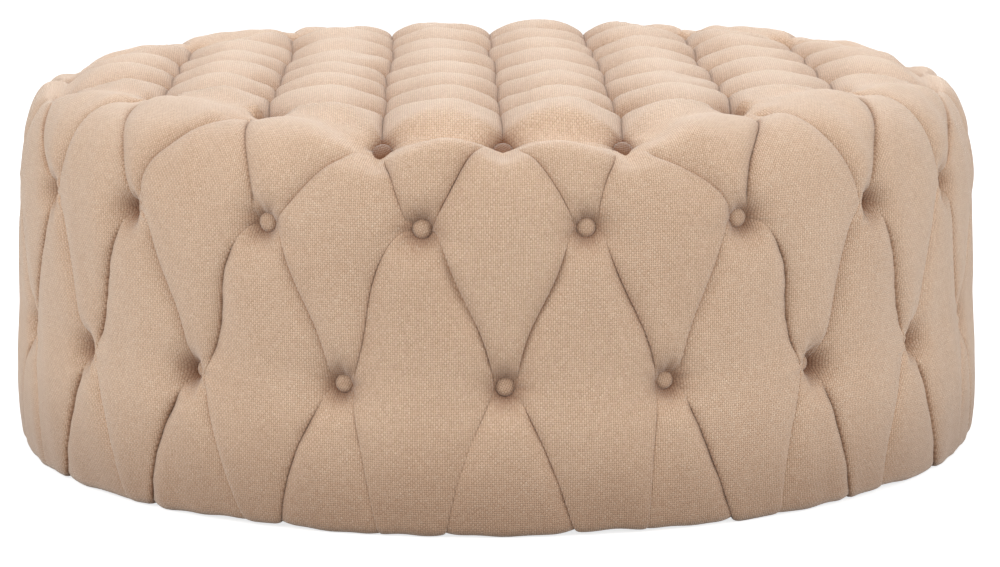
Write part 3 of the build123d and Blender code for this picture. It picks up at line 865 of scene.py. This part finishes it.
def weave_group():
    """Plain weave: threads counted over the cloth's own coordinates, each passing over and
    under in turn, with uneven thickness, slubs and a tone of its own. A thread's height is
    |sin(pi x)|, plus or less 0.55 of both sines' product, and what neither thread covers
    is gap."""
    tree, given, end = group(
        "plain_weave",
        {"Place": ("Vector", None), "Threads": ("Float", 480.0), "Wander": ("Float", 0.35),
         "Slubs": ("Float", 0.5)}, ("Height", "Tone", "Gap"))
    drift = node(tree, "TexNoise", {}, Vector=given["Place"], Scale=70.0, Detail=1.0)
    moved = vector(tree, "SUBTRACT", i0=drift.outputs["Color"], i1=(0.5, 0.5, 0.5))
    moved = vector(tree, "SCALE", i0=moved, Scale=given["Wander"])
    counted = vector(tree, "SCALE", i0=given["Place"], Scale=given["Threads"])
    place = vector(tree, "ADD", i0=counted, i1=moved)
    parts = node(tree, "SeparateXYZ", {}, Vector=place).outputs
    waves = [calc(tree, "SINE", calc(tree, "MULTIPLY", parts[axis], math.pi)) for axis in "XY"]
    size_x, size_y = (calc(tree, "ABSOLUTE", wave) for wave in waves)
    cross = calc(tree, "MULTIPLY", calc(tree, "MULTIPLY", *waves), 0.55)
    warp, weft = calc(tree, "ADD", size_x, cross), calc(tree, "SUBTRACT", size_y, cross)
    top = calc(tree, "GREATER_THAN", warp, weft)
    tones = []
    for line, run, seed in (("X", "Y", 3.1), ("Y", "X", 8.7)):
        thread = calc(tree, "MULTIPLY", calc(tree, "FLOOR", parts[line]), 7.31)
        drawn = calc(tree, "MULTIPLY", parts[run], 0.4)
        spot = node(tree, "CombineXYZ", {}, X=thread, Y=drawn, Z=seed)
        tones.append(noise(tree, spot.outputs[0], 1.0, 2.0, 0.6))
    thick = node(tree, "Mix", {"data_type": "FLOAT"}, i0=top, i2=tones[1], i3=tones[0]).outputs[0]
    slubs = calc(tree, "MULTIPLY", span(tree, thick, 0.58, 0.74, 0.0, 1.0), given["Slubs"])
    uneven = calc(tree, "MULTIPLY_ADD", thick, 0.8, 0.6)
    speck = node(tree, "TexWhiteNoise", {"noise_dimensions": "2D"},
                 Vector=vector(tree, "FLOOR", i0=place)).outputs["Value"]
    open_share = calc(tree, "SUBTRACT", 1.0, calc(tree, "MAXIMUM", size_x, size_y))
    feed(tree, end,
         Height=calc(tree, "MULTIPLY_ADD", calc(tree, "MAXIMUM", warp, weft), uneven, slubs),
         Tone=weighted(tree, (thick, 0.6), (slubs, 0.12), (speck, 0.18), (top, 0.22)),
         Gap=calc(tree, "POWER", open_share, 1.5))
    return tree


def grain_group():
    """Wood figure along one axis: stretched rings of noise, fine pores, and a tone."""
    tree, given, end = group(
        "wood_grain",
        {"Place": ("Vector", None), "Stretch": ("Vector", (1.0, 14.0, 14.0)),
         "Figure": ("Float", 1.0)}, ("Tone", "Pores"))
    drawn = vector(tree, "MULTIPLY", i0=given["Place"], i1=given["Stretch"])
    bands = calc(tree, "FRACT", calc(tree, "MULTIPLY", noise(tree, drawn, 3.0, 4.0, 0.6), 6.0))
    fine = noise(tree, drawn, 34.0, 2.0, 0.7)
    tone = weighted(tree, (bands, 0.6), (fine, 0.4))
    feed(tree, end, Tone=calc(tree, "MULTIPLY", tone, given["Figure"]), Pores=fine)
    return tree


def mottle_group():
    """Uneven tone and a fine surface relief for moulded, foamed and metal surfaces."""
    tree, given, end = group(
        "mottle",
        {"Place": ("Vector", None), "Patch": ("Float", 20.0), "Grain": ("Float", 600.0)},
        ("Tone", "Height"))
    feed(tree, end, Tone=noise(tree, given["Place"], given["Patch"], 3.0),
         Height=noise(tree, given["Place"], given["Grain"]))
    return tree


WEAVE, GRAIN, MOTTLE = weave_group(), grain_group(), mottle_group()


def linear(red, green, blue):
    """A colour written as 0 to 255 on screen, as shader values."""
    tint = np.array((red, green, blue)) / 255
    tint = np.where(tint <= 0.04045, tint / 12.92, ((tint + 0.055) / 1.055) ** 2.4)
    return (*tint.tolist(), 1.0)


def ramp(tree, value, *stops):
    """Colours over a value from 0 to 1, from stops of a place and a colour on screen."""
    made = node(tree, "ValToRGB", {}, Fac=value)
    band = made.color_ramp
    while len(band.elements) < len(stops):
        band.elements.new(0.5)
    for element, (place, tint) in zip(band.elements, stops):
        element.position = place
        element.color = linear(*tint)
    return made.outputs["Color"]


def darkened(tree, share, colour, tint):
    """A colour multiplied by a tint, as far as share says."""
    return node(tree, "Mix", {"data_type": "RGBA", "blend_type": "MULTIPLY"}, i0=share,
                i6=colour, i7=linear(*tint)).outputs[2]


def new_material(name):
    """An empty material with its node tree and Principled shader."""
    material = bpy.data.materials.new(name)
    material.use_nodes = True
    return material, material.node_tree, material.node_tree.nodes["Principled BSDF"]


def skin(tree, made_group, **inputs):
    """A group's outputs in a material, on the object's coordinates unless given a Place."""
    if "Place" not in inputs:
        inputs["Place"] = node(tree, "TexCoord").outputs["Object"]
    return node(tree, "Group", {"node_tree": made_group}, **inputs).outputs


def bump(tree, height, strength, distance):
    """A normal with relief."""
    return node(tree, "Bump", {}, Strength=strength, Distance=distance,
                Height=height).outputs["Normal"]


def burlap_material():
    """Coarse natural burlap: plain weave about 2.1 mm from thread to thread, darker in the gaps
    between threads, and darkened with painted shade where the mesh's shade attribute says that the
    cloth lies deep in a crease or pit or rolls under the bottom edge."""
    material, tree, shader = new_material("burlap")
    place = node(tree, "UVMap", {"uv_map": "cloth"}).outputs["UV"]
    weave = skin(tree, WEAVE, Place=place, Threads=476.0, Wander=0.9, Slubs=0.55)
    broad = calc(tree, "SUBTRACT", noise(tree, place, 7.0, 3.0, 0.55), 0.5)
    tone = calc(tree, "MULTIPLY_ADD", broad, 0.30, weave["Tone"])
    colour = ramp(tree, tone, (0.0, (190, 152, 122)), (0.5, (226, 192, 163)),
                  (1.0, (249, 224, 198)))
    colour = darkened(tree, calc(tree, "MULTIPLY", weave["Gap"], 0.75), colour, (120, 84, 56))
    # Painted shade: the mesh's shade attribute multiplies the colour by a dark brown tint in
    # creases, pits, on sunk buttons and towards the bottom edge
    depth = node(tree, "Attribute", {"attribute_name": "shade"}).outputs["Fac"]
    feed(tree, shader, Base_Color=darkened(tree, depth, colour, (138, 100, 72)), Roughness=0.92,
         Specular_IOR_Level=0.2, Sheen_Weight=0.9, Sheen_Roughness=0.45,
         Sheen_Tint=linear(253, 240, 228), Normal=bump(tree, weave["Height"], 0.7, 0.0006))
    return material


def lining_material():
    """Thin dark woven lining."""
    material, tree, shader = new_material("dust_lining")
    place = node(tree, "UVMap", {"uv_map": "cloth"}).outputs["UV"]
    weave = skin(tree, WEAVE, Place=place, Threads=1600.0, Wander=0.2, Slubs=0.1)
    feed(tree, shader, Roughness=0.85, Normal=bump(tree, weave["Height"], 0.5, 0.0002),
         Base_Color=ramp(tree, weave["Tone"], (0.3, (34, 38, 52)), (0.7, (52, 57, 74))))
    return material


def mottled_material(name, dark, light, roughness, patch, grain, relief, metallic=0.0):
    """A moulded, foamed or plated surface: two tones in patches and a fine relief."""
    material, tree, shader = new_material(name)
    patches = skin(tree, MOTTLE, Patch=patch, Grain=grain)
    rough = span(tree, patches["Tone"], 0.3, 0.7, roughness - 0.07, min(roughness + 0.07, 1.0))
    feed(tree, shader, Base_Color=ramp(tree, patches["Tone"], (0.35, dark), (0.65, light)),
         Metallic=metallic, Roughness=rough, Normal=bump(tree, patches["Height"], 0.4, relief))
    return material


def wood_material(name, dark, light, stretch, figure):
    """Wood with its grain along one axis."""
    material, tree, shader = new_material(name)
    grain = skin(tree, GRAIN, Stretch=stretch, Figure=figure)
    feed(tree, shader, Base_Color=ramp(tree, grain["Tone"], (0.1, dark), (0.9, light)),
         Roughness=0.72, Normal=bump(tree, grain["Pores"], 0.35, 0.0004))
    return material


burlap = burlap_material()
lining = lining_material()
foam = mottled_material("foam", (222, 208, 150), (236, 224, 172), 0.9, 9.0, 900.0, 0.0006)
wadding = mottled_material("wadding", (226, 224, 218), (242, 241, 237), 0.95, 25.0, 300.0, 0.0015)
steel = mottled_material("plated_steel", (150, 152, 156), (186, 188, 192), 0.35, 60.0, 1500.0,
                         0.00005, 1.0)
toggle_plastic = mottled_material("toggle_plastic", (224, 222, 214), (234, 232, 226), 0.4, 40.0,
                                  1200.0, 0.00005)
glide_plastic = mottled_material("glide_plastic", (30, 30, 32), (44, 44, 47), 0.45, 40.0, 1200.0,
                                 0.0001)
twine_wax = mottled_material("twine", (196, 178, 140), (216, 200, 165), 0.7, 300.0, 2500.0, 0.0002)
plywood = wood_material("plywood", (170, 132, 88), (214, 182, 138), (1.0, 12.0, 30.0), 1.0)
softwood = wood_material("softwood", (188, 150, 100), (226, 196, 150), (14.0, 14.0, 1.0), 1.0)
hardboard = wood_material("hardboard", (104, 76, 52), (128, 96, 68), (6.0, 6.0, 6.0), 0.8)


cover = cover_mesh(burlap)
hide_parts("tufted_cover")

# Half outline of a covered button in millimetres, radius and height, and the painted shades that
# its middle has, and that are added at the sides of the ottoman and on tilted buttons
CAP = np.array(((0, 0), (7.6, 0), (9.0, 0.7), (9.5, 2.1), (9.35, 3.4), (8.5, 4.9), (6.9, 6.1),
                (4.8, 6.85), (2.5, 7.15), (1.0, 7.2), (0, 7.2))) / 1000
CAP_COLUMNS = 25
CAP_SHADE, FLANK_SHADE, TILTED_SHADE = 0.12, 0.4, 0.75


def covered_buttons(name, seats, axes, seed, rise):
    """Cloth-covered buttons: a flat dome turned about its axis, with shallow gathers at its
    rim. The cloth's coordinates run out from the middle along the dome. Rise squashes it.
    The painted shade, which darkens the cloth's colour, grows from the middle to the rim. It is
    greater on the tilted ones and at the left and right of the side, where the pits lie deep under
    the panels."""
    profile = CAP * (1, rise)
    run = profile_run(profile)
    turn = np.linspace(0, 2 * np.pi, CAP_COLUMNS)
    gather = 1 + 0.018 * np.cos(11 * turn) * ease(profile[:, :1], 0.0060, 0.0092)
    radius = profile[:, :1] * gather
    local = np.stack((radius * np.cos(turn), radius * np.sin(turn),
                      np.broadcast_to(profile[:, 1:], radius.shape)), -1).reshape(-1, 3)
    reach = (run[-1] - run)[:, None]
    spread = np.stack((reach * np.cos(turn), reach * np.sin(turn)), -1).reshape(-1, 2)
    faces = grid_faces(*radius.shape)
    # Painted shade that darkens each cap towards its rim
    rim = np.repeat(ease(profile[:, 0], 0.004, 0.0095), len(turn))
    source = np.random.default_rng(seed)
    points, cells, maps, shades = [], [], [], []
    for seat, axis in zip(seats, axes):
        axis = axis / np.linalg.norm(axis)
        first = np.cross(axis, (0.3, 0.1, 1.0) if abs(axis[2]) < 0.9 else (0.0, 1.0, 0.2))
        first /= np.linalg.norm(first)
        spin = source.uniform(-0.6, 0.6)
        across = first * math.cos(spin) + np.cross(axis, first) * math.sin(spin)
        frame_of_cap = np.stack((across, np.cross(axis, across), axis))
        cells.append(faces + len(points) * len(local))
        points.append(seat + local @ frame_of_cap)
        # Painted shade on caps that sit deep in pits: on the tilted edge buttons and at the left
        # and right of the side
        deep = max(FLANK_SHADE * ease(abs(axis[0]), 0.5, 0.75),
                   TILTED_SHADE * (0.1 < axis[2] < 0.9))
        shades.append(CAP_SHADE + deep + (0.25 - 0.25 * deep) * rim)
        maps.append(spread + source.uniform(0, 1, 2))
    faces, uv = np.concatenate(cells), np.concatenate(maps)
    piece = surface(name, np.concatenate(points), faces, uv[faces], burlap,
                    shade=np.clip(np.concatenate(shades), 0, 1))
    return piece


ring_set = {tuple(np.round(spot / GRID_PITCH).astype(int)) for spot in RING}
field_seats = np.array([(i * GRID_PITCH, j * GRID_PITCH, NODE_HEIGHT)
                        for i in range(-4, 5) for j in range(-4, 5)
                        if i * i + j * j <= 17 and (i, j) not in ring_set])
edge_seats_at = np.concatenate((RING, np.full((ROW_COUNT, 1), NODE_HEIGHT)), 1)
upper_angles, lower_angles = (STEP * np.arange(ROW_COUNT) + half for _, _, half in BUTTON_ROWS)

for name, node_name, seats, axes, seed, raised, rise in (
        ("field_button_caps", "field_buttons", field_seats,
         np.tile((0.0, 0.0, 1.0), (len(field_seats), 1)), 21, 0.0006, 1.0),
        ("edge_button_caps", "edge_buttons", edge_seats_at,
         polar(math.sin(EDGE_TILT), RING_ANGLE, math.cos(EDGE_TILT)), 22, -0.0006, 0.80),
        ("upper_button_caps", "upper_row_buttons", polar(SEAT_RADIUS, upper_angles, UPPER_HEIGHT),
         polar(1.0, upper_angles, 0.0), 23, 0.0006, 1.0),
        ("lower_button_caps", "lower_row_buttons", polar(SEAT_RADIUS, lower_angles, LOWER_HEIGHT),
         polar(1.0, lower_angles, 0.0), 24, 0.0006, 1.0)):
    caps = covered_buttons(name, seats + raised * axes, axes, seed, rise)
    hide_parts(node_name)


def turned_ring(name, profile, columns, material, dip=None):
    """A closed body of revolution: its profile of radius and height goes once round, and dip
    changes its points in place."""
    turn = np.linspace(0, 360, columns + 1)
    points = polar(profile[:, :1], turn, profile[:, 1:])
    if dip is not None:
        dip(points)
    faces = grid_faces(*points.shape[:2])
    uv = np.stack(np.broadcast_arrays(SIDE_RADIUS * np.radians(turn),
                                      profile_run(profile)[:, None]), -1)
    return surface(name, points.reshape(-1, 3), faces, uv.reshape(-1, 2)[faces], material)


def soft_section(inner, outer, low, high):
    """A closed section with corners rounded by a power curve: radius and height of
    |x|^8 + |y|^8 = 1, fitted to the four sides."""
    angle = np.linspace(0, 2 * np.pi, 121)
    x, y = (np.sign(part) * np.abs(part) ** 0.25 for part in (np.cos(angle), np.sin(angle)))
    section = np.stack(((inner + outer) / 2 + (outer - inner) / 2 * x,
                        (low + high) / 2 + (high - low) / 2 * y), 1)
    section[-1] = section[0]
    return section


def slab_section(outer, low, high):
    """Half a section of a round slab, from the middle of its top out over a rounded rim to
    the middle of its underside."""
    angle = np.linspace(np.pi / 2, -np.pi / 2, 17)
    rim = (high - low) / 2
    edge = np.stack((outer - rim + rim * np.cos(angle), (high + low) / 2 + rim * np.sin(angle)), 1)
    inward = np.linspace(0, outer - rim, 60)[:-1]
    over = np.stack((inward, np.full(59, high)), 1)
    under = np.stack((inward[::-1], np.full(59, low)), 1)
    return np.concatenate((over, edge, under))


# Reach of the twines' dimples in the padding
DIMPLE_WIDTH = 0.012


def tied_down(depth):
    """Dimples where the twines of the top pull a slab down: a bell round each node."""
    def dip(points):
        off_x, off_y, _, _ = from_node(points[..., 0], points[..., 1])
        level = points[..., 2]
        upper = (level - level.min()) / (level.max() - level.min())
        points[..., 2] -= depth * np.exp(-(off_x ** 2 + off_y ** 2) / DIMPLE_WIDTH ** 2) * upper
    return dip


def tied_in(depth):
    """Dimples where the twines of the side pull a band in: a bell round each button."""
    def dip(points):
        radius = np.hypot(points[..., 0], points[..., 1])
        angle = front_angle(points[..., 0], points[..., 1])
        outer = (radius - radius.min()) / (radius.max() - radius.min())
        for level, _, half in BUTTON_ROWS:
            off = (angle - half + STEP / 2) % STEP - STEP / 2
            distance = np.hypot(radius * np.radians(off), points[..., 2] - level)
            pull = depth * np.exp(-(distance / DIMPLE_WIDTH) ** 2) * outer / radius
            points[..., :2] *= (1 - pull)[..., None]
    return dip


for name, node_name, material, slot, depth, thickness in (
        ("top_foam_slab", "top_foam", foam, "foam", 0.003, None),
        ("top_wadding_layer", "top_wadding", wadding, "wadding", 0.002, None),
        ("side_foam_band", "side_foam", foam, "foam", 0.003, 0.024),
        ("side_wadding_band", "side_wadding", wadding, "wadding", 0.002, 0.005)):
    low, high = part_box(node_name)
    if thickness is None:
        section, columns, dip = slab_section(high[0], low[2], high[2]), 180, tied_down(depth)
    else:
        section = soft_section(high[0] - thickness, high[0], low[2], high[2])
        columns, dip = 320, tied_in(depth)
    piece = turned_ring(name, section, columns, material, dip)
    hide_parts(node_name)


# Cloth turned under the base, and the dark lining stretched over it
HEM_INNER, HEM_MIDDLE, HEM_OUTER = 0.406, 0.446, 0.4845
low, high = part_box("hem")
across = (HEM_INNER, 0.43, 0.455, HEM_OUTER)
section = [(radius, low[2]) for radius in across] + [(radius, high[2]) for radius in across[::-1]]
hem = turned_ring("hem_turned_under", np.array(section + section[:1]), 240, burlap)
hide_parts("hem")

low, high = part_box("dust_cover")
dust_radius = high[0]
across = np.linspace(0, dust_radius, 24)
section = np.stack((np.append(across, across[::-1]), np.repeat((high[2], low[2]), 24)), 1)
dust = turned_ring("dust_lining_sheet", section, 200, lining)
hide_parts("dust_cover")

for material, names in (
        (steel, ("top_button_backs", "side_button_backs", "top_button_eyes",
                 "side_button_eyes", "base_screws", "deck_screws", "hoop_staples",
                 "hem_staples", "dust_cover_staples", "glide_nails")),
        (twine_wax, ("top_twines", "side_twines")), (glide_plastic, ("glides",)),
        (toggle_plastic, ("top_toggles", "side_toggles")), (hardboard, ("side_hoop",)),
        (plywood, ("top_deck", "base_board")), (softwood, ("uprights", "glue_blocks"))):
    for name in names:
        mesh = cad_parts[name].data
        mesh.materials.clear()
        mesh.materials.append(material)


# Stage, light and camera

def floor_material():
    """A pale floor that the camera sees as near white, with the object's shadow on it."""
    material, tree, shader = new_material("floor")
    seen = node(tree, "LightPath").outputs["Is Camera Ray"]
    feed(tree, shader, Base_Color=(0.45, 0.45, 0.45, 1), Roughness=0.9,
         Emission_Color=(1, 1, 1, 1), Emission_Strength=calc(tree, "MULTIPLY", seen, 0.78))
    return material


floor_mesh = bpy.data.meshes.new("floor")
floor_mesh.from_pydata([(-30, -30, 0), (30, -30, 0), (30, 30, 0), (-30, 30, 0)], [], [range(4)])
floor_mesh.materials.append(floor_material())
floor = bpy.data.objects.new("floor", floor_mesh)
bpy.context.scene.collection.objects.link(floor)

# Even light from all round, and a white background where it is seen directly
world = bpy.data.worlds.new("studio")
bpy.context.scene.world = world
world.use_nodes = True
sky = world.node_tree
rays = node(sky, "LightPath").outputs
direct = calc(sky, "MAXIMUM", rays["Is Glossy Ray"], rays["Is Transmission Ray"])
direct = calc(sky, "MAXIMUM", rays["Is Camera Ray"], direct)
feed(sky, sky.nodes["Background"], Color=(1, 1, 1, 1),
     Strength=calc(sky, "MULTIPLY_ADD", direct, 0.44, 0.56))

# Soft square lamps: place, height that they face above the middle, width, power and colour
for name, place, aim, width, power, tint in (
        ("key_lamp", (-2.4, -2.2, 2.3), 0.2, 1.6, 47, (1, 1, 1)),
        ("top_lamp", (0.2, 1.5, 3.0), 0.3, 1.6, 46, (0.88, 1.0, 1.14)),
        ("fill_lamp", (2.6, -2.2, 2.0), 0.2, 1.8, 42, (1, 1, 1)),
        ("left_lamp", (-3.2, 0.2, 1.3), 0.25, 1.6, 12, (1, 1, 1)),
        ("right_lamp", (3.2, 0.2, 1.3), 0.25, 1.6, 12, (1, 1, 1))):
    lamp = bpy.data.lights.new(name, "AREA")
    lamp.shape, lamp.size, lamp.energy, lamp.color = "SQUARE", width, power, tint
    holder = bpy.data.objects.new(name, lamp)
    holder.location = place
    facing = Vector((0, 0, aim)) - Vector(place)
    holder.rotation_euler = facing.to_track_quat("-Z", "Y").to_euler()
    bpy.context.scene.collection.objects.link(holder)

# The photograph's camera, as fitted to it
CAMERA_PLACE = (-0.0559, -3.4150, 0.7679)
CAMERA_TURNS = ((-1.0127, "Z"), (90 - 10.2777, "X"), (-0.3863, "Z"))
lens = bpy.data.cameras.new("camera")
lens.lens, lens.sensor_width, lens.sensor_fit = 117.04, 36, "HORIZONTAL"
camera = bpy.data.objects.new("camera", lens)
camera.matrix_world = Matrix.Translation(CAMERA_PLACE)
for degrees, axis in CAMERA_TURNS:
    camera.matrix_world = camera.matrix_world @ Matrix.Rotation(math.radians(degrees), 4, axis)
bpy.context.scene.collection.objects.link(camera)
bpy.context.scene.camera = camera
bpy.context.scene.view_settings.view_transform = "Standard"
